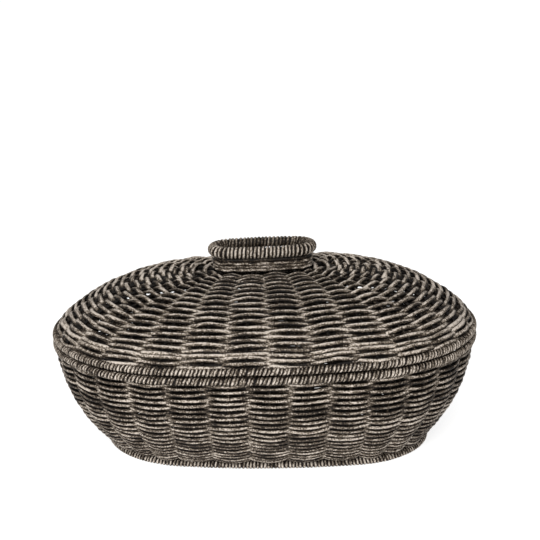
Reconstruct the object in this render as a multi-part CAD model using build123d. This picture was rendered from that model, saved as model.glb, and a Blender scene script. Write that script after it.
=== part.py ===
from build123d import *

# Lidded oval basket of round rattan, in millimetres. +X is the length, +Y the width, +Z up.
# The origin is the middle of the foot, on the surface that the basket stands on.
#
# Every horizontal outline of the basket is an oval of four tangent arcs on the same four
# centres: two end arcs about (+-END_CENTRE, 0) and two side arcs about (0, -+SIDE_CENTRE).
# One number, the offset, then says where a thing lies: the radius of its end arcs. Its half
# length is offset + END_CENTRE.

import os
from math import asin, atan2, cos, degrees, hypot, radians, sin, sqrt

# Outline centres.
END_CENTRE = 65.0
SIDE_CENTRE = 420.0
SIDE_EXTRA = hypot(END_CENTRE, SIDE_CENTRE)
JUNCTION = degrees(atan2(SIDE_CENTRE, END_CENTRE))

# Rods and strands.
STAKE_RADIUS = 1.5
STRAND = 2.5
WALL = 2 * (STAKE_RADIUS + STRAND)
CLEARANCE = 0.05
CANE = 0.8

# Foot.
FOOT_SIZE = 6.6
FOOT_OFFSET = 79.7
FOOT_CORE_RADIUS = 2.4
FOOT_CORNER = 2.4

# Base.
BASE_THICKNESS = 6.0
BASE_EDGE_OFFSET = 71.3
BASE_ROD_RADIUS = 1.4
SPINE_RODS = 4
SPINE_PITCH = 18.0
CROSS_RODS = 9
CROSS_PITCH = 15.0
ROD_EDGE = 61.0

# Wall: one arc, upright where it meets the rim.
WALL_TOP = 97.6
WALL_OUTER_OFFSET = 132.0
WALL_ARC_CENTRE = (7.0, 104.0)
BODY_STAKES = 30
WALL_BANDS = {"lower": (FOOT_SIZE, 32.0), "middle": (32.0, 63.0), "upper": (63.0, WALL_TOP)}
STAKE_BUTT_OFFSET = 63.0
STAKE_BEND = 8.0

# Rims.
RIM_RADIUS = 3.9
RIM_OFFSET = 131.1
BODY_RIM_HEIGHT = 101.6
RIM_GAP = 0.8
LID_RIM_HEIGHT = BODY_RIM_HEIGHT + 2 * RIM_RADIUS + RIM_GAP

# Locating hoop under the lid, which drops into the mouth.
LOCATOR_RADIUS = 2.6
LOCATOR_OFFSET = 119.6
LOCATOR_DROP = 9.0
LASHINGS = 14
LASHING_WIDTH = 6.0
BRIDGE_TUCK = 1.0

# Dome. The middle of its wall runs from the neck oval to the rim oval.
DOME_BOTTOM = LID_RIM_HEIGHT + RIM_RADIUS
DOME_TOP = 162.5
DOME_HALF_AT_NECK = (45.5, 19.5)
DOME_OFFSET_AT_RIM = 128.0
DOME_SIDE_POWER = 0.77
DOME_HEIGHT_POWER = 1.6
DOME_SECTIONS = 10
DOME_SECTION_CROWDING = 1.4
DOME_BANDS = {"crown": (0.0, 0.42), "shoulder": (0.42, 0.75), "edge": (0.75, 1.1)}
LID_STAKES = 28
DOME_STOPS = (0.28, 0.55, 0.78, 0.92, 1.0)
DOME_START_SLOPE = 0.04
BISECTIONS = 40

# Lid stakes, counted from the middle of a side to the middle of an end in each quarter.
LONG_STAKES = (0, 1, 2, 4)
SHORT_STAKES = (3, 5, 6)
SHORT_START = 0.24
NECK_SHARES = (0.20, 0.57, 0.80, 0.855, 0.905, 0.945, 0.98)

# Neck and ring handle.
NECK_STAKE_HALF = (42.5, 16.5)
NECK_COIL_HALF = (45.5, 19.5)
NECK_HOLE_HALF = (44.1, 18.1)
NECK_COIL_RADIUS = 1.45
NECK_COILS = 3
NECK_COIL_SEAT = 0.25
NECK_BEND = 4.0
HANDLE_HALF = (45.5, 19.0)
HANDLE_RADIUS = 5.5
HANDLE_HEIGHT = 184.5


# Outline helpers

def sectors():
    """The four sectors: centre, first angle, angle swept and radius added to the offset."""
    side = 90 - JUNCTION
    return [
        ((END_CENTRE, 0), -JUNCTION, 2 * JUNCTION, 0.0),
        ((0, -SIDE_CENTRE), JUNCTION, 2 * side, SIDE_EXTRA),
        ((-END_CENTRE, 0), 180 - JUNCTION, 2 * JUNCTION, 0.0),
        ((0, SIDE_CENTRE), 180 + JUNCTION, 2 * side, SIDE_EXTRA),
    ]


def ring(profile):
    """A profile of (offset, height) carried round the whole oval."""
    parts = []
    for (x, y), start, swept, extra in sectors():
        solid = revolve(Pos(extra, 0, 0) * profile, Axis.Z, revolution_arc=swept)
        parts.append(Pos(x, y, 0) * Rot(0, 0, start) * solid)
    return Part() + parts


def rod_section(offset, height, radius):
    """The section of a round rod centred at this offset and height."""
    return Plane.XZ * Pos(offset, height) * Circle(radius)


def stations(count, offset, first=0.0):
    """Places evenly spaced round the oval of this offset, each where a radial thing stands.

    first is the distance of the first one from the middle of the -Y side, in spacings.
    """
    lengths = [(offset + extra) * radians(swept) for _, _, swept, extra in sectors()]
    total = sum(lengths)
    half_side = lengths[3] / 2
    places = []
    for index in range(count):
        along = ((index + first) * total / count - half_side) % total
        number = 0
        while along > lengths[number]:
            along -= lengths[number]
            number += 1
        (x, y), start, _, extra = sectors()[number]
        angle = start + degrees(along / (offset + extra))
        places.append(Pos(x, y, 0) * Rot(0, 0, angle) * Pos(extra, 0, 0))
    return places


def oval_arcs(half_length, half_width):
    """The two centre distances and two radii of the oval with these half sizes."""
    slope = 1 / cos(radians(JUNCTION)) - SIDE_CENTRE / END_CENTRE
    end_centre = (half_length - half_width) / (1 - slope)
    side_centre = end_centre * SIDE_CENTRE / END_CENTRE
    end_radius = half_length - end_centre
    return end_centre, side_centre, end_radius, end_radius + hypot(end_centre, side_centre)


def oval_wire(half_length, half_width, height):
    """The oval with these half sizes, laid flat at this height."""
    end_centre, side_centre, end_radius, side_radius = oval_arcs(half_length, half_width)
    side = 90 - JUNCTION
    arcs = [
        CenterArc((end_centre, 0), end_radius, -JUNCTION, 2 * JUNCTION),
        CenterArc((0, -side_centre), side_radius, JUNCTION, 2 * side),
        CenterArc((-end_centre, 0), end_radius, 180 - JUNCTION, 2 * JUNCTION),
        CenterArc((0, side_centre), side_radius, 180 + JUNCTION, 2 * side),
    ]
    return Pos(0, 0, height) * Wire(arcs)


def oval_face(half_length, half_width, height):
    return Face(oval_wire(half_length, half_width, height))


def oval_tube(halves, height, radius):
    """A round rod bent round an oval."""
    start = Pos(halves[0], 0, height) * (Plane.XZ * Circle(radius))
    return sweep(start, path=oval_wire(*halves, height))


def oval_point(halves, share):
    """The point this share of the way round the oval, from the middle of the -Y side."""
    end_centre, side_centre, end_radius, side_radius = oval_arcs(*halves)
    side, end = radians(90 - JUNCTION), radians(JUNCTION)
    half_side, quarter_end = side_radius * side, end_radius * end
    quarter = half_side + quarter_end
    along = (share % 1) * 4 * quarter
    mirror_x, mirror_y = 1, -1
    if along > 2 * quarter:
        along, mirror_x = 4 * quarter - along, -1
    if along > quarter:
        along, mirror_y = 2 * quarter - along, 1
    if along <= half_side:
        turn = along / side_radius
        x, y = side_radius * sin(turn), side_radius * cos(turn) - side_centre
    else:
        turn = side + (along - half_side) / end_radius
        x, y = end_centre + end_radius * sin(turn), end_radius * cos(turn)
    return mirror_x * x, mirror_y * y


# Foot and base

def foot_hoop():
    return ring(rod_section(FOOT_OFFSET, FOOT_SIZE / 2, FOOT_CORE_RADIUS))


def foot_binding():
    """Cane wound round the foot hoop, pressed flat where it stands."""
    outer = RectangleRounded(FOOT_SIZE, FOOT_SIZE, FOOT_CORNER)
    return ring(Plane.XZ * Pos(FOOT_OFFSET, FOOT_SIZE / 2) * (outer - Circle(FOOT_CORE_RADIUS)))


def base_middle():
    """Height of the middle of the floor's thickness."""
    return FOOT_SIZE + BASE_THICKNESS / 2


def base_half_width(x):
    """Half width of the rods' own outline at this distance along the base."""
    if abs(x) < END_CENTRE:
        return sqrt((ROD_EDGE + SIDE_EXTRA) ** 2 - x**2) - SIDE_CENTRE
    return sqrt(ROD_EDGE**2 - (abs(x) - END_CENTRE) ** 2)


def base_cross_rods(radius=BASE_ROD_RADIUS):
    rods = []
    for index in range(CROSS_RODS):
        x = (index - (CROSS_RODS - 1) / 2) * CROSS_PITCH
        length = 2 * base_half_width(x)
        height = base_middle() - BASE_ROD_RADIUS
        rods.append(Pos(x, 0, height) * Rot(90, 0, 0) * Cylinder(radius, length))
    return rods


def base_spine_rods(radius=BASE_ROD_RADIUS):
    rods = []
    for index in range(SPINE_RODS):
        y = (index - (SPINE_RODS - 1) / 2) * SPINE_PITCH
        length = 2 * (END_CENTRE + sqrt(ROD_EDGE**2 - y**2))
        height = base_middle() + BASE_ROD_RADIUS
        rods.append(Pos(0, y, height) * Rot(0, 90, 0) * Cylinder(radius, length))
    return rods


def base_weave():
    """The woven floor, with a channel for every rod and stake in it."""
    half_length = END_CENTRE + BASE_EDGE_OFFSET
    half_width = BASE_EDGE_OFFSET + SIDE_EXTRA - SIDE_CENTRE
    plate = extrude(oval_face(half_length, half_width, FOOT_SIZE), BASE_THICKNESS)
    rods = base_cross_rods(BASE_ROD_RADIUS + CLEARANCE) + base_spine_rods(BASE_ROD_RADIUS + CLEARANCE)
    return plate - rods - body_stakes(STAKE_RADIUS + CLEARANCE)


# Wall

def wall_arc(inset):
    """Radius of the wall's arc, this far in from its outer face."""
    return WALL_OUTER_OFFSET - WALL_ARC_CENTRE[0] - inset


def wall_point(inset, height):
    centre, level = WALL_ARC_CENTRE
    return centre + sqrt(wall_arc(inset) ** 2 - (level - height) ** 2), height


def stake_path():
    """One stake: flat in the floor, a small bend, then up the middle of the wall."""
    centre, level = WALL_ARC_CENTRE
    arc = wall_arc(WALL / 2)
    floor = base_middle()
    bend_height = floor + STAKE_BEND
    bend_offset = centre + sqrt((arc - STAKE_BEND) ** 2 - (level - bend_height) ** 2)
    across, down = (bend_offset - centre) / (arc - STAKE_BEND), (bend_height - level) / (arc - STAKE_BEND)
    bend_end = (centre + arc * across, level + arc * down)
    top = wall_point(WALL / 2, WALL_TOP)
    turned = atan2(down, across)
    middle = -radians(90) + (turned + radians(90)) / 2
    bend_middle = (bend_offset + STAKE_BEND * cos(middle), bend_height + STAKE_BEND * sin(middle))
    top_angle = atan2(top[1] - level, top[0] - centre)
    half = (turned + top_angle) / 2
    wall_middle = (centre + arc * cos(half), level + arc * sin(half))
    line = Line((STAKE_BUTT_OFFSET, floor), (bend_offset, floor))
    bend = ThreePointArc((bend_offset, floor), bend_middle, bend_end)
    upright = ThreePointArc(bend_end, wall_middle, top)
    return Plane.XZ * Wire([line, bend, upright])


def body_stakes(radius=STAKE_RADIUS):
    section = Pos(STAKE_BUTT_OFFSET, 0, base_middle()) * (Plane.YZ * Circle(radius))
    stake = sweep(section, path=stake_path())
    middle_offset = wall_point(WALL / 2, WALL_TOP)[0]
    return [place * stake for place in stations(BODY_STAKES, middle_offset)]


def wall_profile(bottom, top):
    """The wall's section between two heights."""
    corners = [wall_point(inset, height) for inset, height in
               ((0, bottom), (0, top), (WALL, top), (WALL, bottom))]
    half_height = (bottom + top) / 2
    outer = ThreePointArc(corners[0], wall_point(0, half_height), corners[1])
    inner = ThreePointArc(corners[2], wall_point(WALL, half_height), corners[3])
    edges = [outer, Line(corners[1], corners[2]), inner, Line(corners[3], corners[0])]
    return Plane.XZ * Face(Wire(edges))


def body_weave(band):
    """One band of the woven wall, with a channel for every stake."""
    return ring(wall_profile(*WALL_BANDS[band])) - body_stakes(STAKE_RADIUS + CLEARANCE)


# Rims

def rim_hoop(height):
    return ring(rod_section(RIM_OFFSET, height, RIM_RADIUS - CANE))


def rim_binding(height):
    outer = rod_section(RIM_OFFSET, height, RIM_RADIUS)
    return ring(outer - rod_section(RIM_OFFSET, height, RIM_RADIUS - CANE))


# Locating hoop

def locator_height():
    return LID_RIM_HEIGHT - LOCATOR_DROP


def lid_locating_hoop():
    return ring(rod_section(LOCATOR_OFFSET, locator_height(), LOCATOR_RADIUS))


def lid_hoop_lashings():
    """Cane ties that hold the locating hoop to the lid's rim."""
    loop = LOCATOR_RADIUS + CANE
    tie = Pos(LOCATOR_OFFSET, 0, locator_height()) * Rot(90, 0, 0) * Cylinder(loop, LASHING_WIDTH)
    top = DOME_BOTTOM - BRIDGE_TUCK
    neck_height = top - locator_height()
    strap = Pos(LOCATOR_OFFSET + loop / 2, 0, locator_height() + neck_height / 2) * Box(
        loop, LASHING_WIDTH, neck_height
    )
    foot = RIM_OFFSET - LOCATOR_OFFSET
    bridge = Pos(LOCATOR_OFFSET + foot / 2, 0, top - CANE) * Box(foot, LASHING_WIDTH, 2 * CANE)
    hoops = [lid_locating_hoop(), ring(rod_section(RIM_OFFSET, LID_RIM_HEIGHT, RIM_RADIUS))]
    one = tie + strap + bridge
    return [place * one - hoops for place in stations(LASHINGS, LOCATOR_OFFSET, 0.5)]


# Dome

def dome_share(turn):
    """Sideways share of the way from neck to rim, and height share, at this turn from 0 to 90."""
    return sin(radians(turn)) ** DOME_SIDE_POWER, cos(radians(turn)) ** DOME_HEIGHT_POWER


def dome_halves(share):
    rim = (END_CENTRE + DOME_OFFSET_AT_RIM, DOME_OFFSET_AT_RIM + SIDE_EXTRA - SIDE_CENTRE)
    return tuple(a + (b - a) * share for a, b in zip(DOME_HALF_AT_NECK, rim))


def dome_height(share):
    return DOME_BOTTOM + (DOME_TOP - DOME_BOTTOM) * share


def dome_solid(outward):
    """The dome filled in, with its skin this far outside the middle of the woven wall."""
    wires = []
    for index in range(DOME_SECTIONS):
        turn = 90 * (index / (DOME_SECTIONS - 1)) ** DOME_SECTION_CROWDING
        side, height = dome_share(turn)
        lean = radians(turn)
        halves = [half + outward * sin(lean) for half in dome_halves(side)]
        level = dome_height(height) + outward * cos(lean)
        wires.append(oval_wire(*halves, level))
    return Solid.make_loft(wires)


def dome_share_at(x, y):
    """Sideways share of the way from neck to rim of the oval through this point."""
    low, high = 0.0, 1.0
    for _ in range(BISECTIONS):
        middle = (low + high) / 2
        end_centre, side_centre, end_radius, side_radius = oval_arcs(*dome_halves(middle))
        over_end = hypot(abs(x) - end_centre, y) - end_radius
        over_side = hypot(x, abs(y) + side_centre) - side_radius
        in_end = abs(y) * end_centre < (abs(x) - end_centre) * side_centre
        outside = over_end if in_end else over_side
        low, high = (middle, high) if outside > 0 else (low, middle)
    return (low + high) / 2


def dome_level(x, y):
    """Height of the middle of the dome's wall above this point."""
    turn = degrees(asin(dome_share_at(x, y) ** (1 / DOME_SIDE_POWER)))
    return dome_height(dome_share(turn)[1])


def lid_stake_ends(index):
    """A stake's step in its quarter, and its places at the neck and at the rim in plan."""
    quarter, step = divmod(index, LID_STAKES // 4)
    side, way = (quarter + 1) // 2 / 2, 1
    if quarter % 2:
        step, way = LID_STAKES // 4 - 1 - step, -1
    neck = oval_point(NECK_STAKE_HALF, side + way * NECK_SHARES[step] / 4)
    rim = oval_point(dome_halves(1), (index + 0.5) / LID_STAKES)
    return step, neck, rim


def lid_stake(neck, rim, start, radius):
    """One lid stake, in the upright plane through its places at the neck and at the rim."""
    length = hypot(rim[0] - neck[0], rim[1] - neck[1])
    along = ((rim[0] - neck[0]) / length, (rim[1] - neck[1]) / length)
    plane = Plane((neck[0], neck[1], 0), x_dir=(*along, 0), z_dir=(along[1], -along[0], 0))
    edges, points = [], []
    if start == 0:
        top = (0, HANDLE_HEIGHT - HANDLE_RADIUS)
        bend = [(0, DOME_TOP + NECK_BEND), (NECK_BEND, DOME_TOP)]
        edges = [Line(top, bend[0]), TangentArc(*bend, tangent=(0, -1))]
        points = [bend[1]]
    for share in [start] * (start > 0) + [share for share in DOME_STOPS if share > start]:
        x, y = neck[0] + along[0] * share * length, neck[1] + along[1] * share * length
        points.append((share * length, dome_level(x, y)))
    slope = DOME_START_SLOPE if start else 0
    tangent = Vector(1, -slope)
    for first, second in zip(points, points[1:]):
        arc = TangentArc(first, second, tangent=tangent)
        tangent = arc % 1
        edges.append(arc)
    path = plane * Wire(edges)
    return sweep(Plane(origin=path @ 0, z_dir=path % 0) * Circle(radius), path=path)


def lid_stakes(radius=STAKE_RADIUS):
    """Stakes that run from the handle ring to the rim."""
    ends = [lid_stake_ends(index) for index in range(LID_STAKES)]
    return [lid_stake(neck, rim, 0, radius) for step, neck, rim in ends if step in LONG_STAKES]


def lid_short_stakes(radius=STAKE_RADIUS):
    """Stakes that were pushed in beside the others, where the dome widens at its two ends."""
    ends = [lid_stake_ends(index) for index in range(LID_STAKES)]
    return [lid_stake(neck, rim, SHORT_START, radius) for step, neck, rim in ends if step in SHORT_STAKES]


def lid_weave(band):
    """One band of the woven dome, with a channel for every stake."""
    inner, outer = DOME_BANDS[band]
    height = DOME_TOP + WALL - DOME_BOTTOM
    ring_wall = extrude(oval_face(*dome_halves(outer), DOME_BOTTOM), height)
    hole = dome_halves(inner) if inner else NECK_HOLE_HALF
    ring_wall -= extrude(oval_face(*hole, DOME_BOTTOM), height)
    stakes = lid_stakes(STAKE_RADIUS + CLEARANCE) + lid_short_stakes(STAKE_RADIUS + CLEARANCE)
    shell = Part() + dome_solid(WALL / 2) - dome_solid(-WALL / 2)
    return (shell & ring_wall) - stakes


# Neck and handle

def neck_coils():
    bottom = DOME_TOP + WALL / 2 + NECK_COIL_SEAT + NECK_COIL_RADIUS
    heights = [bottom + 2 * NECK_COIL_RADIUS * index for index in range(NECK_COILS)]
    return [oval_tube(NECK_COIL_HALF, height, NECK_COIL_RADIUS) for height in heights]


def handle_hoop():
    return oval_tube(HANDLE_HALF, HANDLE_HEIGHT, HANDLE_RADIUS - CANE)


def handle_binding():
    return oval_tube(HANDLE_HALF, HANDLE_HEIGHT, HANDLE_RADIUS) - handle_hoop()


NODES = {
    "foot_hoop": foot_hoop,
    "foot_binding": foot_binding,
    "base_cross_rods": base_cross_rods,
    "base_spine_rods": base_spine_rods,
    "base_weave": base_weave,
    "body_stakes": body_stakes,
    "body_weave_lower": lambda: body_weave("lower"),
    "body_weave_middle": lambda: body_weave("middle"),
    "body_weave_upper": lambda: body_weave("upper"),
    "body_rim_hoop": lambda: rim_hoop(BODY_RIM_HEIGHT),
    "body_rim_binding": lambda: rim_binding(BODY_RIM_HEIGHT),
    "lid_rim_hoop": lambda: rim_hoop(LID_RIM_HEIGHT),
    "lid_rim_binding": lambda: rim_binding(LID_RIM_HEIGHT),
    "lid_locating_hoop": lid_locating_hoop,
    "lid_hoop_lashings": lid_hoop_lashings,
    "lid_stakes": lid_stakes,
    "lid_short_stakes": lid_short_stakes,
    "lid_weave_crown": lambda: lid_weave("crown"),
    "lid_weave_shoulder": lambda: lid_weave("shoulder"),
    "lid_weave_edge": lambda: lid_weave("edge"),
    "neck_coils": neck_coils,
    "handle_hoop": handle_hoop,
    "handle_binding": handle_binding,
}

os.makedirs("parts", exist_ok=True)
for name, make in NODES.items():
    made = make()
    shape = Compound(made) if isinstance(made, list) else made
    export_step(shape, f"parts/{name}.step")
    print(name, len(shape.solids()), "solids,", round(shape.volume), "mm3")
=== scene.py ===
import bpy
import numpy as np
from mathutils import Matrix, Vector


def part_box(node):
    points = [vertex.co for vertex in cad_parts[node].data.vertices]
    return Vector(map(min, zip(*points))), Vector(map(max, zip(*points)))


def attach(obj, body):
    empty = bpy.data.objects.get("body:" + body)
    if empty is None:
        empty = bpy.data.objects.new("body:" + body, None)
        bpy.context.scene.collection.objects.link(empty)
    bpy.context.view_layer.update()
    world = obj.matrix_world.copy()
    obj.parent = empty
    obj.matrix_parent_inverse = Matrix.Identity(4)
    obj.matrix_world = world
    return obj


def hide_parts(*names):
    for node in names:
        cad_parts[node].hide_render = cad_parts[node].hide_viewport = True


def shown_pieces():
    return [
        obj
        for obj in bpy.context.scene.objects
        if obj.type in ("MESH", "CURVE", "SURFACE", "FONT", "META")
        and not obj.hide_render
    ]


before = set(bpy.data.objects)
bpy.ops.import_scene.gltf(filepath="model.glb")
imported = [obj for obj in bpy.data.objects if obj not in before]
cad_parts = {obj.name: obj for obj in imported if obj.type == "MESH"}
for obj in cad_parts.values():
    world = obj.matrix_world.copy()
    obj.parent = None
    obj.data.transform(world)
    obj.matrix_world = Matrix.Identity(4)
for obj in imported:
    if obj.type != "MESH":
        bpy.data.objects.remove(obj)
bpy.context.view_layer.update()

# Lidded oval basket of round rattan. Shapes are worked out in millimetres and written in
# metres. Every outline is an oval of four tangent arcs, as in the CAD model.

MM = 0.001
SEED = 7

# Outline centres, the same ratio in every oval.
END_CENTRE = 65.0
SIDE_CENTRE = 420.0
END_TURN = np.arctan2(SIDE_CENTRE, END_CENTRE)
SIDE_TURN = np.pi / 2 - END_TURN

# Strands and stakes, as half sizes, and how a strand swings past the stakes.
STRAND = 1.32
WALL_STRAND_WIDE = 1.6
LID_STRAND_WIDE = 1.85
STAKE = 1.5
WALL_SWING = 2.72
LID_SWING = 2.35
WAVE_POWER = 0.85
WALL_STRAND_SIZES = (0.94, 1.05)
LID_STRAND_SIZES = (0.95, 1.06)

# A strand is pressed wider behind a stake, and in the lid it fills where rows lie apart.
WALL_PRESSED = 0.35
LID_PRESSED = 0.5
PRESSED_FROM = 0.5
FILLING = 0.8

# Handwork: how uneven the swing, the place, the size and the tone of a strand are.
SWING_UNEVEN = 0.08
ROW_DRIFT = 0.6
LID_DRIFT_LENGTH = 60.0
WALL_SLIP = 0.24
LID_SLIP = 0.28
LID_SLIP_MORE = 0.3
SIZE_UNEVEN = 0.05
TONE_UNEVEN = 0.28
TONE_WANDER = 0.22
STRAND_TONES = (0.15, 0.85)
WANDER_COUNTS = (2, 26)

# Wear and painted shade: how much a strand shows, how the wash has gone from its crowns, and how dark
# its flanks, hollows and hidden parts are painted as shade.
EXPOSED_MIDDLE = 0.9
EXPOSED_MORE = 0.95
EXPOSED_LEAST = 0.02
# Painted shade: the higher this power, the narrower the pale crown and the darker the flanks.
WEAR_AND_SHADE_POWER = 3.0
# Painted light: the palest line of a strand turns upwards, as a top lit from above.
PAINTED_TOP_LIGHT = 0.35
# The face behind: wear and painted shade.
INSIDE_WEAR_AND_SHADE = 0.7
# Painted shade on stakes and rows hidden in the weave.
HIDDEN_SHADE = 0.3
# Painted shade on rods under the cane and on the rod under the handle.
ROD_SHADE = 0.2
LOCATING_WEAR = 0.7

# Mesh detail.
SIDES = 9
ROD_SIDES = 16
NECK_SIDES = 12
CANE_SIDES = 8
LASHING_SIDES = 6
STEPS = 16
LONG_STAKE_STEPS = 22
ROD_STEPS = 720
WALE_STEPS = 480
NECK_STEPS = 240
GRAIN_SHIFT = 400

# Basket wall: one arc, a bend, then the edge of the floor.
BODY_STAKES = 30
WALL_ARC_OFFSET = 7.0
WALL_ARC_HEIGHT = 104.0
WALL_ARC_RADIUS = 121.0
BEND_RADIUS = 8.0
FLOOR_HEIGHT = 9.6
WALL_ROW_PITCH = 2.75
FLOOR_EDGE = 64.5
WALE_ROWS = 9
WALE_FIRST = 78.0
WALE_INSET = 4.3
STAKE_POINTS = 60
STAKE_REACH = 121.0

# Floor.
ROD_RADIUS = 1.4
CROSS_RODS = 9
CROSS_PITCH = 15.0
SPINE_RODS = 4
SPINE_PITCH = 18.0
FLOOR_ROW_PITCH = 2.8
FLOOR_ROW_FIRST = 63.6
FLOOR_ROWS = 23
FLOOR_SWING = 2.3
FLOOR_STRAND_WIDE = 1.6
FLOOR_SAMPLES = 4000
FLOOR_STEP = 2.0
FLOOR_WANDER = 0.1
# Floor strands: wear, and painted shade where they lie up between the rods.
FLOOR_WEAR_AND_SHADE = 0.5
FLOOR_SHADE_DEPTH = 6.0

# Dome.
DOME_SIDE_POWER = 0.77
DOME_HEIGHT_POWER = 1.72
NECK_HALF = (45.5, 19.5)
NECK_STAKE_HALF = (42.5, 16.5)
LID_STAKES = 28
LONG_STEPS = (0, 1, 2, 4)
SHORT_START = 0.24
NECK_SHARES = (0.20, 0.57, 0.80, 0.855, 0.905, 0.945, 0.98)
ALL_STAKES_FROM = 0.15
LID_ROW_FIRST = 3.0
LID_ROW_PITCH_NECK = 4.5
LID_ROW_PITCH_RIM = 2.95
LID_EDGE_ROWS = 4
LID_EDGE_PITCH = 2.5
LID_EDGE_GAP = 1.0
LID_LAST_SINK = 1.6
LID_BANDS = {"crown": (0.0, 0.42), "shoulder": (0.42, 0.75), "edge": (0.75, 1.1)}
DOME_INSET = 2.5
DOME_SAMPLES = 81
DOME_HALVINGS = 40
DOME_LEVEL_SAMPLES = 3001
DOME_STEP = 0.01
NECK_BEND = 4.0
BEND_POINTS = 6

# Rings of the neck: how they rise and sway, how fat they are, their wear, and how wide the
# rod above them is.
NECK_RINGS = 3
RING_RISE = 0.25
RING_SWAY = 0.35
RING_SIZE = 1.02
RING_WEAR = 0.7
RING_WEAR_WANDER = 0.15
NECK_ROD_WIDE = 1.3

# Cane windings: pitch, strands side by side, half width, half thickness, lean in turns and
# how dark the top and the bottom are painted as shade.
RIM_WIND = (3.45, 2, 1.35, 0.9, 0.0, 0.7)
FOOT_WIND = (3.1, 1, 1.2, 0.7, 0.9, 0.4)
HANDLE_WIND = (3.5, 1, 1.32, 1.0, 0.3, 0.0)
RIM_SLIMMER = 0.3
ROD_SLIMMER = 0.4
# Painted shade on the inward face of the windings.
INSIDE_DARKER = 0.5
WIND_STEPS = 18
WIND_LOOSE = 0.1
WIND_WANDER = 0.05
CANE_TONES = (0.05, 0.95)
CANE_WIDTHS = (0.9, 1.03)
DIM_POWER = 0.6

# Lashings, and the loop that one turn follows round the hoop and the rim.
LASHINGS = 14
LASHING_TURNS = 4
LASHING_PITCH = 1.7
LASHING_THICK = 0.35
LASHING_WIDE = 0.8
LASHING_WEAR = 0.8
LOOP_SPOTS = 40
LOOP_POINTS = 48
LOOP_TOP_GAP = 1.0
LOOP_TOP_RADIUS = 0.9
LOOP_TOP_INSET = 1.6

# Materials: fine relief of the strands in metres, roughness of every noise, and shine.
RELIEF_DEPTH = 0.0004
NOISE_ROUGHNESS = 0.65
STRAND_SPECULAR = 0.15

# Paper and light, in metres and watts.
PAPER = (0.5, 0.5, 0.5)
PAPER_ROUGHNESS = 0.9
PAPER_GLOW = 0.76
PAPER_SIZE = 12.0
PAPER_DROP = 0.0002
SKY_STRENGTH = 0.55
KEY_PLACE = (-0.45, -1.8, 1.2)
KEY_TARGET = (0, 0, 0.08)
KEY_SIZE = 1.2
KEY_POWER = 46

# Camera.
CAMERA_DISTANCE = 1300.0
CAMERA_ELEVATION = 18.4
CAMERA_TURN = 1.5
CAMERA_TARGET = 95.0
LENS = 91.0
SENSOR = 36.0
AIM_UP = 2.86
AIM_RIGHT = 0.17

# Hand shaping: heights grow a little with x, what is high moves towards -X, and the foot
# of the wall is drawn outwards, more so at +X.
LEAN_RISE = 1.8e-4
LEAN_SHIFT = 1.08e-4
FLARE_HEIGHT = 30.0
FLARE = 0.045
FLARE_MORE = 1.2e-4

random = np.random.default_rng(SEED)


# Outlines

def oval_arcs(half_length, half_width):
    """End-centre distance, side-centre distance, end radius and side radius."""
    slope = 1 / np.cos(END_TURN) - SIDE_CENTRE / END_CENTRE
    end_centre = (half_length - half_width) / (1 - slope)
    side_centre = end_centre * SIDE_CENTRE / END_CENTRE
    end_radius = half_length - end_centre
    return end_centre, side_centre, end_radius, end_radius + np.hypot(end_centre, side_centre)


def oval_length(half_length, half_width):
    _, _, end_radius, side_radius = oval_arcs(half_length, half_width)
    return 4 * (side_radius * SIDE_TURN + end_radius * END_TURN)


def oval_places(half_length, half_width, share):
    """Points and outward directions at these shares of the way round, from the middle of -Y."""
    end_centre, side_centre, end_radius, side_radius = oval_arcs(half_length, half_width)
    half_side = side_radius * SIDE_TURN
    quarter = half_side + end_radius * END_TURN
    along = (share % 1) * 4 * quarter
    mirror_x = np.where(along > 2 * quarter, -1.0, 1.0)
    along = np.where(along > 2 * quarter, 4 * quarter - along, along)
    mirror_y = np.where(along > quarter, 1.0, -1.0)
    along = np.where(along > quarter, 2 * quarter - along, along)
    on_side = along <= half_side
    turn = np.where(on_side, along / side_radius, SIDE_TURN + (along - half_side) / end_radius)
    radius = np.where(on_side, side_radius, end_radius)
    x = np.where(on_side, 0, end_centre) + radius * np.sin(turn)
    y = np.where(on_side, -side_centre, 0) + radius * np.cos(turn)
    return mirror_x * x, mirror_y * y, mirror_x * np.sin(turn), mirror_y * np.cos(turn)


def oval_share(half_length, half_width, x, y):
    """Share of the way round the oval at which this point on it lies."""
    end_centre, side_centre, end_radius, side_radius = oval_arcs(half_length, half_width)
    half_side = side_radius * SIDE_TURN
    quarter = half_side + end_radius * END_TURN
    beyond = np.abs(x) - end_centre
    in_end = np.abs(y) * end_centre < beyond * side_centre
    end_turn = np.arctan2(beyond, np.abs(y))
    side_turn = np.arctan2(np.abs(x), np.abs(y) + side_centre)
    along = np.where(in_end, half_side + (end_turn - SIDE_TURN) * end_radius, side_turn * side_radius)
    share = along / (4 * quarter)
    share = np.where(y > 0, 0.5 - share, share)
    return np.where(x < 0, 1 - share, share)


def hoop(node):
    """Half length, half width, height and radius of the middle line of a round hoop."""
    low, high = (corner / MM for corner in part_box(node))
    radius = (high.z - low.z) / 2
    return high.x - radius, high.y - radius, low.z + radius, radius


def level_ring(half_length, half_width, height, steps):
    """Points and outward directions of a closed level ring on this outline."""
    x, y, nx, ny = oval_places(half_length, half_width, np.arange(steps) / steps)
    return np.stack([x, y, np.full_like(x, height)], 1), np.stack([nx, ny, 0 * nx], 1)


# Meshes

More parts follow.
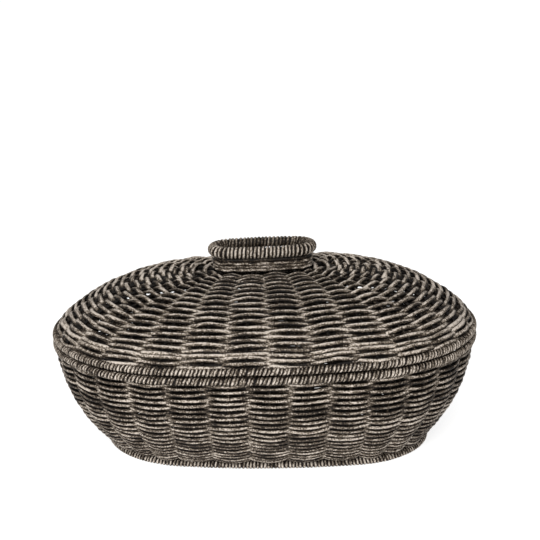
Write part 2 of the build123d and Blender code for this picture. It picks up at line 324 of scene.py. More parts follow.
class Strands:
    """Bent rods gathered into one mesh, with what their material needs at every point."""

    def __init__(self):
        self.points, self.faces, self.caps = [], [], []
        self.grain, self.tone, self.crown = [], [], []
        self.count = 0

    def add(
        self, path, outward, thick, wide,
        closed=True, depth=1.0, inner=None, tone=None, sides=SIDES, raised=0.0,
    ):
        """A rod along path, thick towards outward and wide across it, both half sizes.

        Depth sets how pale its outer face is and inner how pale the face behind, from 0 to 1: wear of
        the wash on the crown, and painted shade on the flanks and where depth is low. The last
        argument turns the palest line of the outer face upwards, in radians, as painted light from
        above.
        """
        n = len(path)
        if closed:
            forward = np.roll(path, -1, 0) - np.roll(path, 1, 0)
            steps = np.linalg.norm(path - np.roll(path, 1, 0), axis=1)
        else:
            forward = np.gradient(path, axis=0)
            steps = np.linalg.norm(np.diff(path, axis=0, prepend=path[:1]), axis=1)
        forward /= np.linalg.norm(forward, axis=1)[:, None]
        across = np.cross(forward, outward)
        across /= np.linalg.norm(across, axis=1)[:, None]
        out = np.cross(across, forward)
        angle = np.arange(sides) * 2 * np.pi / sides
        thick, wide = np.broadcast_to(thick, n), np.broadcast_to(wide, n)
        ring = path[:, None] + out[:, None] * (np.cos(angle)[:, None] * thick[:, None, None])
        ring = ring + across[:, None] * (np.sin(angle)[:, None] * wide[:, None, None])
        self.points.append(ring.reshape(-1, 3))
        index = self.count + np.arange(n * sides).reshape(n, sides)
        after = np.roll(index, -1, 0) if closed else index[1:]
        here = index if closed else index[:-1]
        quads = [here, np.roll(here, -1, 1), np.roll(after, -1, 1), after]
        self.faces.append(np.stack([q.reshape(-1) for q in quads], 1))
        if not closed:
            self.caps += [index[0], index[-1][::-1]]
        along = np.cumsum(steps)
        shift = random.uniform(0, GRAIN_SHIFT)
        grain = np.stack([np.broadcast_to((along + shift)[:, None], (n, sides)),
                          np.broadcast_to(np.cos(angle), (n, sides)) + shift,
                          np.broadcast_to(np.sin(angle), (n, sides))], 2)
        self.grain.append(grain.reshape(-1, 3))
        tone = random.uniform(0, 1) if tone is None else tone
        self.tone.append(np.broadcast_to(np.reshape(tone, (-1, 1)), (n, sides)).reshape(-1))
        # The crown is pale where the face looks out, from wear and painted light, and dark on the
        # flanks and where depth is low, as painted shade.
        facing = (0.5 + 0.5 * np.cos(angle + raised)) ** WEAR_AND_SHADE_POWER
        hidden = (0.5 - 0.5 * np.cos(angle)) ** WEAR_AND_SHADE_POWER
        inner = 0.5 * np.asarray(depth) if inner is None else inner
        crown = np.broadcast_to(depth, n)[:, None] * facing
        crown = crown + np.broadcast_to(inner, n)[:, None] * hidden
        self.crown.append(crown.reshape(-1))
        self.count += n * sides

    def build(self, name, body, material, slot, *nodes, flare=1.0):
        mesh = bpy.data.meshes.new(name)
        points = shaped(np.concatenate(self.points), flare) * MM
        quads = np.concatenate(self.faces)
        loops = np.concatenate([quads.reshape(-1), *self.caps]).astype(np.int32)
        sizes = np.concatenate([np.full(len(quads), 4), [len(cap) for cap in self.caps]])
        starts = np.concatenate([[0], np.cumsum(sizes)[:-1]]).astype(np.int32)
        mesh.vertices.add(len(points))
        mesh.vertices.foreach_set("co", points.reshape(-1))
        mesh.loops.add(len(loops))
        mesh.loops.foreach_set("vertex_index", loops)
        mesh.polygons.add(len(starts))
        mesh.polygons.foreach_set("loop_start", starts)
        mesh.update(calc_edges=True)
        mesh.validate()
        mesh.polygons.foreach_set("use_smooth", np.ones(len(mesh.polygons), dtype=bool))
        grain = mesh.attributes.new("grain", "FLOAT_VECTOR", "POINT")
        grain.data.foreach_set("vector", np.concatenate(self.grain).reshape(-1))
        tone = mesh.attributes.new("tone", "FLOAT", "POINT")
        tone.data.foreach_set("value", np.concatenate(self.tone))
        crown = mesh.attributes.new("crown", "FLOAT", "POINT")
        crown.data.foreach_set("value", np.concatenate(self.crown))
        piece = bpy.data.objects.new(name, mesh)
        bpy.context.scene.collection.objects.link(piece)
        mesh.materials.append(material)
        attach(piece, body)
        if nodes:
            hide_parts(*nodes)
        return piece


def shaped(points, flare):
    """The slight lean of a basket made by hand, with the foot of its wall drawn out."""
    x, y, z = points.T
    spread = 1 + flare * (FLARE + FLARE_MORE * x) * np.clip(1 - z / FLARE_HEIGHT, 0, 1) ** 2
    return np.stack([x * spread - LEAN_SHIFT * z**2, y * spread, z * (1 + LEAN_RISE * x)], 1)


def wander(turns, size, waves=5):
    """A smooth random wave over turns of 0 to 1 that ends as it starts."""
    made = np.zeros_like(turns)
    for _ in range(waves):
        count = random.integers(*WANDER_COUNTS)
        made += np.sin(2 * np.pi * (count * turns + random.uniform(0, 1)))
    return made * size / np.sqrt(waves)


def eased(part):
    """From 0 to 1 with a soft start and end."""
    return part * part * (3 - 2 * part)


def jitter(count, steps, size):
    """A random value at every stake and half way between, joined smoothly all round."""
    values = random.normal(0, size, 2 * count)
    place = np.arange(count * steps) * 2 / steps
    whole = place.astype(int)
    first, second = values[whole % len(values)], values[(whole + 1) % len(values)]
    return first + (second - first) * eased(place - whole)


# Waves of the drift: how many go round, where each starts and how it shifts from row to row.
DRIFT = [
    (random.integers(2, 19), random.uniform(0, 1), random.uniform(-0.006, 0.006))
    for _ in range(9)
]


def drift(turns, level, size):
    """A slow wave that neighbouring rows share."""
    made = sum(
        np.sin(2 * np.pi * (count * turns + start + rate * level)) for count, start, rate in DRIFT
    )
    return made * size / np.sqrt(len(DRIFT))


def weave_wave(along, row):
    """How far out a strand is, from -1 to 1, where stakes stand at whole numbers."""
    wave = np.cos(np.pi * (along + row))
    return np.sign(wave) * np.abs(wave) ** WAVE_POWER


# Materials

def bare_material(name):
    """A new material, its nodes, its links and its shader."""
    material = bpy.data.materials.new(name)
    material.use_nodes = True
    tree = material.node_tree
    return material, tree.nodes, tree.links, tree.nodes["Principled BSDF"]


def ramp(nodes, stops):
    node = nodes.new("ShaderNodeValToRGB")
    while len(node.color_ramp.elements) < len(stops):
        node.color_ramp.elements.new(0.5)
    for element, (place, colour) in zip(node.color_ramp.elements, stops):
        element.position = place
        element.color = (*colour, 1)
    return node


def mathed(nodes, links, operation, first, second, third=None):
    node = nodes.new("ShaderNodeMath")
    node.operation = operation
    for socket, value in zip(node.inputs, (first, second, third)):
        if isinstance(value, (int, float)):
            socket.default_value = value
        elif value is not None:
            links.new(value, socket)
    return node.outputs[0]


def noise(nodes, links, vector, scale, detail, stretch=(1, 1, 1)):
    mapping = nodes.new("ShaderNodeMapping")
    mapping.inputs["Scale"].default_value = stretch
    links.new(vector, mapping.inputs["Vector"])
    node = nodes.new("ShaderNodeTexNoise")
    node.inputs["Scale"].default_value = scale
    node.inputs["Detail"].default_value = detail
    node.inputs["Roughness"].default_value = NOISE_ROUGHNESS
    links.new(mapping.outputs[0], node.inputs["Vector"])
    return node.outputs["Fac"]


def surface(nodes, links, shader, colour, grain, roughness, relief):
    """Colour, roughness and fine relief, the last two from the same grain."""
    links.new(colour.outputs[0], shader.inputs["Base Color"])
    rough = mathed(nodes, links, "MULTIPLY_ADD", grain, *roughness)
    links.new(rough, shader.inputs["Roughness"])
    bump = nodes.new("ShaderNodeBump")
    bump.inputs["Strength"].default_value = relief
    bump.inputs["Distance"].default_value = RELIEF_DEPTH
    links.new(grain, bump.inputs["Height"])
    links.new(bump.outputs[0], shader.inputs["Normal"])


def rattan(name, gain, stops):
    """Rattan with a grey wash: pale on the crowns from wear and painted highlight, painted dark as
    shade in the hollows, fibres along it.
    """
    material, nodes, links, shader = bare_material(name)
    fields = {}
    for field in ("grain", "tone", "crown"):
        node = nodes.new("ShaderNodeAttribute")
        node.attribute_name = field
        fields[field] = node
    place = nodes.new("ShaderNodeTexCoord").outputs["Object"]
    grain = fields["grain"].outputs["Vector"]
    fibre = noise(nodes, links, grain, 1.0, 5, (0.22, 2.6, 2.6))
    streaks = noise(nodes, links, grain, 1.0, 3, (0.09, 0.5, 0.5))
    flecks = noise(nodes, links, grain, 1.0, 2, (0.8, 1.4, 1.4))
    patches = noise(nodes, links, place, 38.0, 3)
    # The crown attribute carries the wear and the painted light and shade.
    shares = [
        (fields["crown"].outputs["Fac"], 1.0),
        (fields["tone"].outputs["Fac"], 0.35),
        (fibre, 1.9),
        (streaks, 0.9),
        (flecks, 2.3),
        (patches, 0.6),
    ]
    wash = gain - sum(share for _, share in shares[1:]) / 2
    for source, share in shares:
        wash = mathed(nodes, links, "MULTIPLY_ADD", source, share, wash)
    colour = ramp(nodes, stops)
    links.new(wash, colour.inputs[0])
    surface(nodes, links, shader, colour, fibre, (0.35, 0.45), 0.6)
    shader.inputs["Specular IOR Level"].default_value = STRAND_SPECULAR
    return material


def plain_rod(name, dark, light):
    """Round rattan that lies inside the weave: dark wash with fine grain."""
    material, nodes, links, shader = bare_material(name)
    place = nodes.new("ShaderNodeTexCoord").outputs["Object"]
    grain = noise(nodes, links, place, 420.0, 4)
    colour = ramp(nodes, [(0.3, dark), (0.75, light)])
    links.new(grain, colour.inputs[0])
    surface(nodes, links, shader, colour, grain, (0.3, 0.5), 0.5)
    return material


# Colour of the wash, from a hollow painted nearly black as shade to a crown made pale by wear and a
# painted highlight.
WASH_AND_SHADE = [
    (0.0, (0.003, 0.002, 0.0015)),
    (0.3, (0.018, 0.012, 0.0075)),
    (0.6, (0.089, 0.069, 0.049)),
    (0.85, (0.25, 0.21, 0.17)),
    (1.0, (0.50, 0.44, 0.38)),
]
# The wall's copy of the rattan is darker than the lid's, as painted shade.
SHADED_WALL_WEAVE = rattan("rattan_wall_shaded", -0.26, WASH_AND_SHADE)
WEAVE = rattan("rattan_weave", -0.03, WASH_AND_SHADE)
CANE = rattan("cane_wrap", -0.04, WASH_AND_SHADE)
# A darker copy for stakes and rods hidden in the weave and under the cane: painted shade.
SHADED_HIDDEN = rattan("rattan_rod", -0.3, WASH_AND_SHADE)
ROD = plain_rod("floor_rod", (0.010, 0.008, 0.006), (0.06, 0.047, 0.036))


# Basket wall

RIM_MIDDLE_OFFSET = WALL_ARC_OFFSET + WALL_ARC_RADIUS
BEND_LEVEL = FLOOR_HEIGHT + BEND_RADIUS
BEND_OFFSET = WALL_ARC_OFFSET + np.sqrt(
    (WALL_ARC_RADIUS - BEND_RADIUS) ** 2 - (WALL_ARC_HEIGHT - BEND_LEVEL) ** 2
)
BEND_START = np.arctan2(WALL_ARC_HEIGHT - BEND_LEVEL, BEND_OFFSET - WALL_ARC_OFFSET)


def wall_section(level, top):
    """Offset, height and outward direction of the wall's middle, this far down from its top."""
    first = np.arcsin((WALL_ARC_HEIGHT - top) / WALL_ARC_RADIUS)
    arc_end = WALL_ARC_RADIUS * (BEND_START - first)
    bend_end = arc_end + BEND_RADIUS * (np.pi / 2 - BEND_START)
    if level < arc_end:
        turn = first + level / WALL_ARC_RADIUS
        return (WALL_ARC_OFFSET + WALL_ARC_RADIUS * np.cos(turn),
                WALL_ARC_HEIGHT - WALL_ARC_RADIUS * np.sin(turn), np.cos(turn), -np.sin(turn))
    if level < bend_end:
        turn = BEND_START + (level - arc_end) / BEND_RADIUS
        return (BEND_OFFSET + BEND_RADIUS * np.cos(turn),
                BEND_LEVEL - BEND_RADIUS * np.sin(turn), np.cos(turn), -np.sin(turn))
    return BEND_OFFSET - (level - bend_end), FLOOR_HEIGHT, 0.0, -1.0


def half_width_at(offset):
    """Half width of the oval whose half length is this much more than END_CENTRE."""
    return offset + np.hypot(END_CENTRE, SIDE_CENTRE) - SIDE_CENTRE


def wall_ring(level, top, turns):
    """A level ring in the wall's middle: its points, and directions out and down the wall."""
    offset, height, out, up = wall_section(level, top)
    rim = (END_CENTRE + RIM_MIDDLE_OFFSET, half_width_at(RIM_MIDDLE_OFFSET))
    x, y, nx, ny = oval_places(*rim, turns)
    shrink = offset - RIM_MIDDLE_OFFSET
    path = np.stack([x + shrink * nx, y + shrink * ny, np.full_like(x, height)], 1)
    normal = np.stack([nx * out, ny * out, np.full_like(nx, up)], 1)
    down = np.stack([nx * up, ny * up, np.full_like(nx, -out)], 1)
    return path, normal, down


def wall_row(strands, level, row, top):
    """One strand woven round the body stakes."""
    along = np.arange(BODY_STAKES * STEPS) / STEPS
    path, normal, down = wall_ring(level, top, along / BODY_STAKES)
    weave(strands, path, normal, down, along, BODY_STAKES, row, level, WALL_WEAVING, WALL_SLIP)


# Of a woven row: swing, half width, how much wider it is pressed, and least and most size.
WALL_WEAVING = (WALL_SWING, WALL_STRAND_WIDE, WALL_PRESSED, WALL_STRAND_SIZES)
LID_WEAVING = (LID_SWING, LID_STRAND_WIDE, LID_PRESSED, LID_STRAND_SIZES)


def weave(strands, path, normal, down, along, count, row, level, weaving, slip, filling=1.0, sink=0.0):
    """One strand along path that passes in and out of this many stakes, with its handwork."""
    swing, width, pressed, sizes = weaving
    steps = len(along) // count
    turns = along / count
    wave = weave_wave(along, row)
    reach = swing * (1 + jitter(count, steps, SWING_UNEVEN)) * wave
    slid = drift(turns, level, ROW_DRIFT) + jitter(count, steps, slip)
    path = path + normal * reach[:, None] + down * slid[:, None]
    path[:, 2] -= sink
    radius = STRAND * random.uniform(*sizes) * (1 + jitter(count, steps, SIZE_UNEVEN))
    wide = radius * width / STRAND * flattened(wave, pressed) * filling
    tone = strand_tone(turns) + jitter(count, steps, TONE_UNEVEN)
    # Painted shade where the strand passes behind a stake, and painted light on its top.
    strands.add(
        path, normal, radius, wide, depth=exposure(wave), inner=INSIDE_WEAR_AND_SHADE * exposure(-wave),
        tone=tone, raised=PAINTED_TOP_LIGHT,
    )


def flattened(wave, most):
    """How much wider a strand is pressed towards where it passes behind a stake."""
    return 1 + most * np.clip(PRESSED_FROM - wave, 0, 1 + PRESSED_FROM) / (1 + PRESSED_FROM)


def exposure(wave):
    """How much a strand shows, from nearly 0 behind a stake to 1 from the crossing outwards; where it
    shows little it is painted dark as shade.
    """
    return np.clip(EXPOSED_MIDDLE + EXPOSED_MORE * wave, EXPOSED_LEAST, 1)


def strand_tone(turns):
    return np.clip(random.uniform(*STRAND_TONES) + wander(turns, TONE_WANDER), 0, 1)


def basket_wall():
    """The woven rows from under the rim's cane to the edge of the floor."""
    bands = ("upper", "middle", "lower")
    floors = {band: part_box(f"body_weave_{band}")[0].z / MM for band in bands}
    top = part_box("body_weave_upper")[1].z / MM
    gathered = {band: Strands() for band in bands}
    level, row = STRAND - 2 * WALL_ROW_PITCH, 1
    while True:
        offset, height, _, up = wall_section(level, top)
        if up == -1.0 and offset < FLOOR_EDGE:
            break
        band = next((name for name in bands if height > floors[name]), "lower")
        wall_row(gathered[band], level, row, top)
        level += WALL_ROW_PITCH
        row += 1
    for band in bands:
        gathered[band].build(
            f"basket_{band}_strands", "basket", SHADED_WALL_WEAVE, "rattan_weave", f"body_weave_{band}"
        )


def inner_wale():
    """Plain rows packed inside the foot of the wall, and a rod behind the foot's cane."""
    strands = Strands()
    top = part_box("body_weave_upper")[1].z / MM
    turns = np.arange(WALE_STEPS) / WALE_STEPS
    for row in range(WALE_ROWS):
        path, normal, _ = wall_ring(WALE_FIRST + row * WALL_ROW_PITCH, top, turns)
        # Hidden rows are painted dark as shade on their outer face.
        strands.add(
            path - normal * WALE_INSET, normal, STRAND, WALL_STRAND_WIDE,
            depth=HIDDEN_SHADE, inner=INSIDE_WEAR_AND_SHADE, tone=strand_tone(turns),
        )
    half_length, half_width, height, radius = hoop("foot_hoop")
    path, normal = level_ring(
        half_length - radius, half_width - radius, height + radius, WALE_STEPS
    )
    strands.add(path, normal, radius, radius, depth=HIDDEN_SHADE, tone=strand_tone(turns))
    strands.build("basket_wale_strands", "basket", SHADED_WALL_WEAVE, "rattan_weave")


def body_stakes():
    """Stakes that run down the wall and bend in to the edge of the floor."""
    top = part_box("body_weave_upper")[1].z / MM
    strands = Strands()
    levels = np.linspace(0, 1, STAKE_POINTS) * STAKE_REACH
    section = np.array([wall_section(level, top) for level in levels])
    section = section[(section[:, 0] > FLOOR_EDGE) | (section[:, 3] > -1.0)]
    rim = (END_CENTRE + RIM_MIDDLE_OFFSET, half_width_at(RIM_MIDDLE_OFFSET))
    for index in range(BODY_STAKES):
        x, y, nx, ny = oval_places(*rim, np.array(index / BODY_STAKES))
        out = section[:, 0] - RIM_MIDDLE_OFFSET
        path = np.stack([x + out * nx, y + out * ny, section[:, 1]], 1)
        normal = np.stack([nx * section[:, 2], ny * section[:, 2], section[:, 3]], 1)
        # Stakes are painted dark as shade, as they show only in the gaps.
        strands.add(path, normal, STAKE, STAKE, closed=False, depth=HIDDEN_SHADE)
    strands.build("basket_stakes", "basket", SHADED_HIDDEN, "rattan_rod", "body_stakes")


# Floor

def passes(values, level):
    """Where a closed run of values passes this level."""
    return np.flatnonzero(np.diff(np.sign(values - level), append=np.sign(values[0] - level)))


def floor_crossings(half_length, half_width, middle):
    """Shares round a floor row at which it meets a rod, in order, and each rod's height."""
    fine = np.linspace(0, 1, FLOOR_SAMPLES + 1)[:-1]
    x, y, _, _ = oval_places(half_length, half_width, fine)
    crossings = []
    for index in range(CROSS_RODS):
        rod = (index - (CROSS_RODS - 1) / 2) * CROSS_PITCH
        crossings += [(fine[spot], middle - ROD_RADIUS) for spot in passes(x, rod)]
    for index in range(SPINE_RODS):
        rod = (index - (SPINE_RODS - 1) / 2) * SPINE_PITCH
        beyond = [spot for spot in passes(y, rod) if abs(x[spot]) > END_CENTRE]
        crossings += [(fine[spot], middle + ROD_RADIUS) for spot in beyond]
    crossings = sorted(set(crossings))
    return np.array([place for place, _ in crossings]), np.array([rod for _, rod in crossings])


def floor_row(strands, offset, row):
    """One strand woven round the rods of the floor."""
    half_length, half_width = END_CENTRE + offset, half_width_at(offset)
    low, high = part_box("base_weave")
    middle = (low.z + high.z) / 2 / MM
    places, heights = floor_crossings(half_length, half_width, middle)
    heights = heights + FLOOR_SWING * (-1.0) ** (np.arange(len(places)) + row)
    places = np.concatenate([places[-1:] - 1, places, places[:1] + 1])
    heights = np.concatenate([heights[-1:], heights, heights[:1]])
    steps = int(oval_length(half_length, half_width) / FLOOR_STEP)
    turns = np.arange(steps) / steps
    after = np.searchsorted(places, turns, side="right")
    part = (turns - places[after - 1]) / (places[after] - places[after - 1])
    height = heights[after - 1] + (heights[after] - heights[after - 1]) * eased(part)
    x, y, _, _ = oval_places(half_length, half_width, turns)
    path = np.stack([x, y, height + wander(turns, FLOOR_WANDER)], 1)
    normal = np.stack([0 * x, 0 * x, 0 * x - 1], 1)
    # Paler where the strand lies out under the floor, darker as painted shade where it lies up between
    # the rods.
    depth = np.clip(FLOOR_WEAR_AND_SHADE + (middle - height) / FLOOR_SHADE_DEPTH, HIDDEN_SHADE, 1)
    strands.add(
        path, normal, STRAND, FLOOR_STRAND_WIDE, depth=depth, inner=INSIDE_WEAR_AND_SHADE,
        tone=strand_tone(turns),
    )


def basket_floor():
    """The floor's rounds, from its edge inwards."""
    strands = Strands()
    for row in range(FLOOR_ROWS):
        floor_row(strands, FLOOR_ROW_FIRST - row * FLOOR_ROW_PITCH, row)
    strands.build("floor_strands", "basket", SHADED_WALL_WEAVE, "rattan_weave", "base_weave", flare=0.0)


# Windings

def loosened(turns, size):
    """How far along each turn of a winding has slid, smoothed from one turn to the next."""
    slide = np.repeat(random.normal(0, size, turns + 1), WIND_STEPS)[:turns * WIND_STEPS]
    half = WIND_STEPS // 2
    joined = np.concatenate([slide[1 - half:], slide, slide[:half]])
    return np.convolve(joined, np.ones(WIND_STEPS) / WIND_STEPS, "valid")[:len(slide)]


def wind(node, name, body, settings, slimmer=0.0):
    """Cane wound round a hoop, leaning to the right as it climbs the outside."""
    half_length, half_width, height, radius = hoop(node)
    pitch, side_by_side, wide, thick, lean, dim = settings
    length = oval_length(half_length, half_width)
    turns = int(round(length / (pitch * side_by_side)))
    run = radius - slimmer - thick
    share = np.arange(turns * WIND_STEPS) / (turns * WIND_STEPS)
    strands = Strands()
    for strand in range(side_by_side):
        angle = 2 * np.pi * (turns * share + strand / side_by_side)
        held = lean * np.sin(angle) / (2 * np.pi * turns)
        slide = loosened(turns, WIND_LOOSE * pitch)
        x, y, nx, ny = oval_places(half_length, half_width, share - held + slide / length)
        normal = np.stack([nx * np.cos(angle), ny * np.cos(angle), np.sin(angle)], 1)
        reach = run + wander(share, WIND_WANDER)
        path = np.stack([x, y, np.full_like(x, height)], 1) + normal * reach[:, None]
        tone = np.repeat(random.uniform(*CANE_TONES, turns), WIND_STEPS)
        width = wide * np.repeat(random.uniform(*CANE_WIDTHS, turns), WIND_STEPS)
        # Painted shade on the top and the bottom of the hoop and on its inward face.
        gap_shading = 1 - dim + dim * np.abs(np.cos(angle)) ** DIM_POWER
        inside_shading = np.clip(1 + INSIDE_DARKER * np.cos(angle), 0, 1)
        strands.add(path, normal, thick, width, depth=gap_shading * inside_shading, tone=tone, sides=CANE_SIDES)
    strands.build(name, body, CANE, "cane_wrap", node)


def hoop_rod(node, name, body, depth, slimmer=0.0):
    """A plain bent rod where the CAD model has one."""
    half_length, half_width, height, radius = hoop(node)
    strands = Strands()
    path, normal = level_ring(half_length, half_width, height, ROD_STEPS)
    tone = strand_tone(np.arange(ROD_STEPS) / ROD_STEPS)
    radius -= slimmer
    strands.add(path, normal, radius, radius, depth=depth, tone=tone, sides=ROD_SIDES)
    strands.build(name, body, SHADED_HIDDEN, "rattan_rod", node)


# Lid

def dome_halves(share, neck, rim):
    """Half length and half width of the oval at this share of the way from neck to rim."""
    return tuple(a + (b - a) * share for a, b in zip(neck, rim))


def dome_height(share, bottom, top):
    """Height of the dome's middle at this share of the way from neck to rim."""
    turn = np.arcsin(np.clip(share, 0, 1) ** (1 / DOME_SIDE_POWER))
    return bottom + (top - bottom) * np.clip(np.cos(turn), 0, 1) ** DOME_HEIGHT_POWER


def dome_share_at(x, y, rim):
    """Share of the way from neck to rim of the oval through each point."""
    low, high = np.zeros_like(x), np.ones_like(x)
    for _ in range(DOME_HALVINGS):
        middle = (low + high) / 2
        halves = dome_halves(middle, NECK_HALF, rim)
        end_centre, side_centre, end_radius, side_radius = oval_arcs(*halves)
        over_end = np.hypot(np.abs(x) - end_centre, y) - end_radius
        over_side = np.hypot(x, np.abs(y) + side_centre) - side_radius
        in_end = np.abs(y) * end_centre < (np.abs(x) - end_centre) * side_centre
        outside = np.where(in_end, over_end, over_side) > 0
        low, high = np.where(outside, middle, low), np.where(outside, high, middle)
    return (low + high) / 2


class Dome:
    """Where the lid's stakes cross each oval of the dome."""

    def __init__(self):
        rim_box, crown_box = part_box("lid_rim_binding"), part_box("lid_weave_crown")
        self.bottom = rim_box[1].z / MM
        self.top = crown_box[1].z / MM - STAKE - DOME_INSET
        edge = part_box("lid_weave_edge")[1] / MM
        self.rim = (edge.x - STAKE - DOME_INSET, edge.y - STAKE - DOME_INSET)
        samples = np.linspace(0, 1, DOME_SAMPLES)
        self.shares, self.places, self.long, self.ends = [], [], [], []
        for index in range(LID_STAKES):
            quarter, step = divmod(index, LID_STAKES // 4)
            side, way = (quarter + 1) // 2 / 2, 1
            if quarter % 2:
                step, way = LID_STAKES // 4 - 1 - step, -1
            neck = oval_places(*NECK_STAKE_HALF, np.array(side + way * NECK_SHARES[step] / 4))[:2]
            rim = oval_places(*self.rim, np.array((index + 0.5) / LID_STAKES))[:2]
            x = neck[0] + (rim[0] - neck[0]) * samples
            y = neck[1] + (rim[1] - neck[1]) * samples
            self.ends.append((neck, rim))
            self.shares.append(dome_share_at(x, y, self.rim))
            self.places.append((x, y))
            self.long.append(step in LONG_STEPS)

    def columns(self, share, everyone):
        """Shares round this oval at which the stakes cross it, in order."""
        halves = dome_halves(share, NECK_HALF, self.rim)
        found = []
        for shares, (x, y), is_long in zip(self.shares, self.places, self.long):
            if is_long or everyone:
                spot = np.interp(share, shares, x), np.interp(share, shares, y)
                found.append(float(oval_share(*halves, *spot)))
        return np.unwrap(np.array(found) * 2 * np.pi) / (2 * np.pi)

    def ring(self, share, along, everyone):
        """Points at these stake numbers on the oval of this share."""
        crossings = self.columns(share, everyone)
        count = len(crossings)
        whole = np.floor(along).astype(int)
        part = along - whole

        def at(number):
            return crossings[number % count] + number // count

        before, first, second, after = (at(whole + k) for k in (-1, 0, 1, 2))
        start, end = (second - before) / 2, (after - first) / 2
        square, cube = part**2, part**3
        place = (2 * cube - 3 * square + 1) * first + (cube - 2 * square + part) * start
        place = place + (3 * square - 2 * cube) * second + (cube - square) * end
        x, y, _, _ = oval_places(*dome_halves(share, NECK_HALF, self.rim), place)
        height = dome_height(share, self.bottom, self.top)
        return np.stack([x, y, np.full_like(x, height)], 1)

    def row(self, share, everyone):
        """A ring's stake numbers, points, directions out and down the dome, and room per row."""
        count = LID_STAKES if everyone else sum(self.long)
        steps = STEPS if everyone else LONG_STAKE_STEPS
        along = np.arange(count * steps) / steps
        points = self.ring(share, along, everyone)
        inner = self.ring(max(share - DOME_STEP, 0.0), along, everyone)
        outer = self.ring(min(share + DOME_STEP, 1.0), along, everyone)
        round_way = np.roll(points, -1, 0) - np.roll(points, 1, 0)
        round_way /= np.linalg.norm(round_way, axis=1)[:, None]
        down = outer - inner
        down -= round_way * np.sum(down * round_way, axis=1)[:, None]
        spread = np.linalg.norm(down, axis=1)
        down /= spread[:, None]
        return along, points, np.cross(round_way, -down), down, spread / spread.min()


def dome_levels(dome):
    """Shares of the rows, set by distance down the middle of the front."""
    share = np.linspace(0, 1, DOME_LEVEL_SAMPLES)
    width = dome_halves(share, NECK_HALF, dome.rim)[1]
    height = dome_height(share, dome.bottom, dome.top)
    travelled = np.concatenate([[0], np.cumsum(np.hypot(np.diff(width), np.diff(height)))])
    total = travelled[-1]
    levels, place = [], LID_ROW_FIRST
    last = total - LID_EDGE_ROWS * LID_EDGE_PITCH + LID_EDGE_GAP
    while place < last:
        levels.append(place)
        place += LID_ROW_PITCH_NECK + (LID_ROW_PITCH_RIM - LID_ROW_PITCH_NECK) * place / total
    levels += list(last + LID_EDGE_PITCH * np.arange(LID_EDGE_ROWS))
    return np.interp(levels, travelled, share)


def lid_row(strands, dome, share, row, sink=0.0):
    """One strand woven round the lid's stakes, near the neck round the long ones only."""
    along, path, normal, down, room = dome.row(share, share > ALL_STAKES_FROM)
    count = int(round(along[-1]))
    slip = LID_SLIP + LID_SLIP_MORE * share**3
    filling = 1 + FILLING * (room - 1)
    level = LID_DRIFT_LENGTH * share
    weave(strands, path, normal, down, along, count, row, level, LID_WEAVING, slip, filling, sink)


def lid_stakes(dome):
    """Stakes from the handle ring, or from part way down the dome, to the rim."""
    _, _, handle_height, handle_radius = hoop("handle_binding")
    long_ones, short_ones = Strands(), Strands()
    bend = np.linspace(0, np.pi / 2, BEND_POINTS)[1:]
    for (neck, rim), shares, (x, y), is_long in zip(dome.ends, dome.shares, dome.places, dome.long):
        length = np.hypot(rim[0] - neck[0], rim[1] - neck[1])
        way = np.array([(rim[0] - neck[0]) / length, (rim[1] - neck[1]) / length])
        height = dome_height(shares, dome.bottom, dome.top)
        run = np.hypot(x - neck[0], y - neck[1])
        kept = run > (NECK_BEND if is_long else SHORT_START * length)
        flat, rise = run[kept], height[kept]
        if is_long:
            up = np.linspace(handle_height - handle_radius + 1, dome.top + NECK_BEND, BEND_POINTS)
            flat = np.concatenate([0 * up, NECK_BEND * (1 - np.cos(bend)), flat])
            rise = np.concatenate([up, dome.top + NECK_BEND * (1 - np.sin(bend)), rise])
        path = np.stack([neck[0] + way[0] * flat, neck[1] + way[1] * flat, rise], 1)
        side = np.tile([way[1], -way[0], 0.0], (len(path), 1))
        strands = long_ones if is_long else short_ones
        # Stakes are painted dark as shade.
        strands.add(path, side, STAKE, STAKE, closed=False, depth=HIDDEN_SHADE)
    long_ones.build("lid_long_stakes", "lid", SHADED_HIDDEN, "rattan_rod", "lid_stakes")
    short_ones.build("lid_added_stakes", "lid", SHADED_HIDDEN, "rattan_rod", "lid_short_stakes")


def lid_weave(dome):
    """The woven rows of the dome and, set lower, the one that closes it against the rim."""
    gathered = {band: Strands() for band in LID_BANDS}
    levels = dome_levels(dome)
    for row, share in enumerate(levels):
        band = next(name for name, (low, high) in LID_BANDS.items() if low <= share < high)
        lid_row(gathered[band], dome, share, row)
    lid_row(gathered["edge"], dome, 1.0, len(levels), LID_LAST_SINK)
    for band in LID_BANDS:
        gathered[band].build(
            f"lid_{band}_strands", "lid", WEAVE, "rattan_weave", f"lid_weave_{band}"
        )


def neck_rings():
    """Rings of thicker rattan between dome and handle, and a rod above them painted dark as the shade
    under the handle.
    """
    low, high = (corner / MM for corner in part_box("neck_coils"))
    radius = (high.z - low.z) / (2 * NECK_RINGS)
    turns = np.arange(NECK_STEPS) / NECK_STEPS
    strands = Strands()
    for index in range(NECK_RINGS):
        height = low.z + radius * (1 + 2 * index)
        path, normal = level_ring(high.x - radius, high.y - radius, height, NECK_STEPS)
        path[:, 2] += wander(turns, RING_RISE)
        path += normal * wander(turns, RING_SWAY)[:, None]
        depth = RING_WEAR + wander(turns, RING_WEAR_WANDER)
        size = radius * RING_SIZE
        strands.add(
            path, normal, size, size, depth=depth, tone=strand_tone(turns), sides=NECK_SIDES
        )
    # The rod above the rings is painted dark as the shade under the handle.
    path, normal = level_ring(high.x - 2 * radius, high.y - 2 * radius, high.z + radius, NECK_STEPS)
    strands.add(
        path, normal, radius, radius * NECK_ROD_WIDE, depth=ROD_SHADE, tone=strand_tone(turns)
    )
    strands.build("neck_strands", "lid", WEAVE, "rattan_weave", "neck_coils")


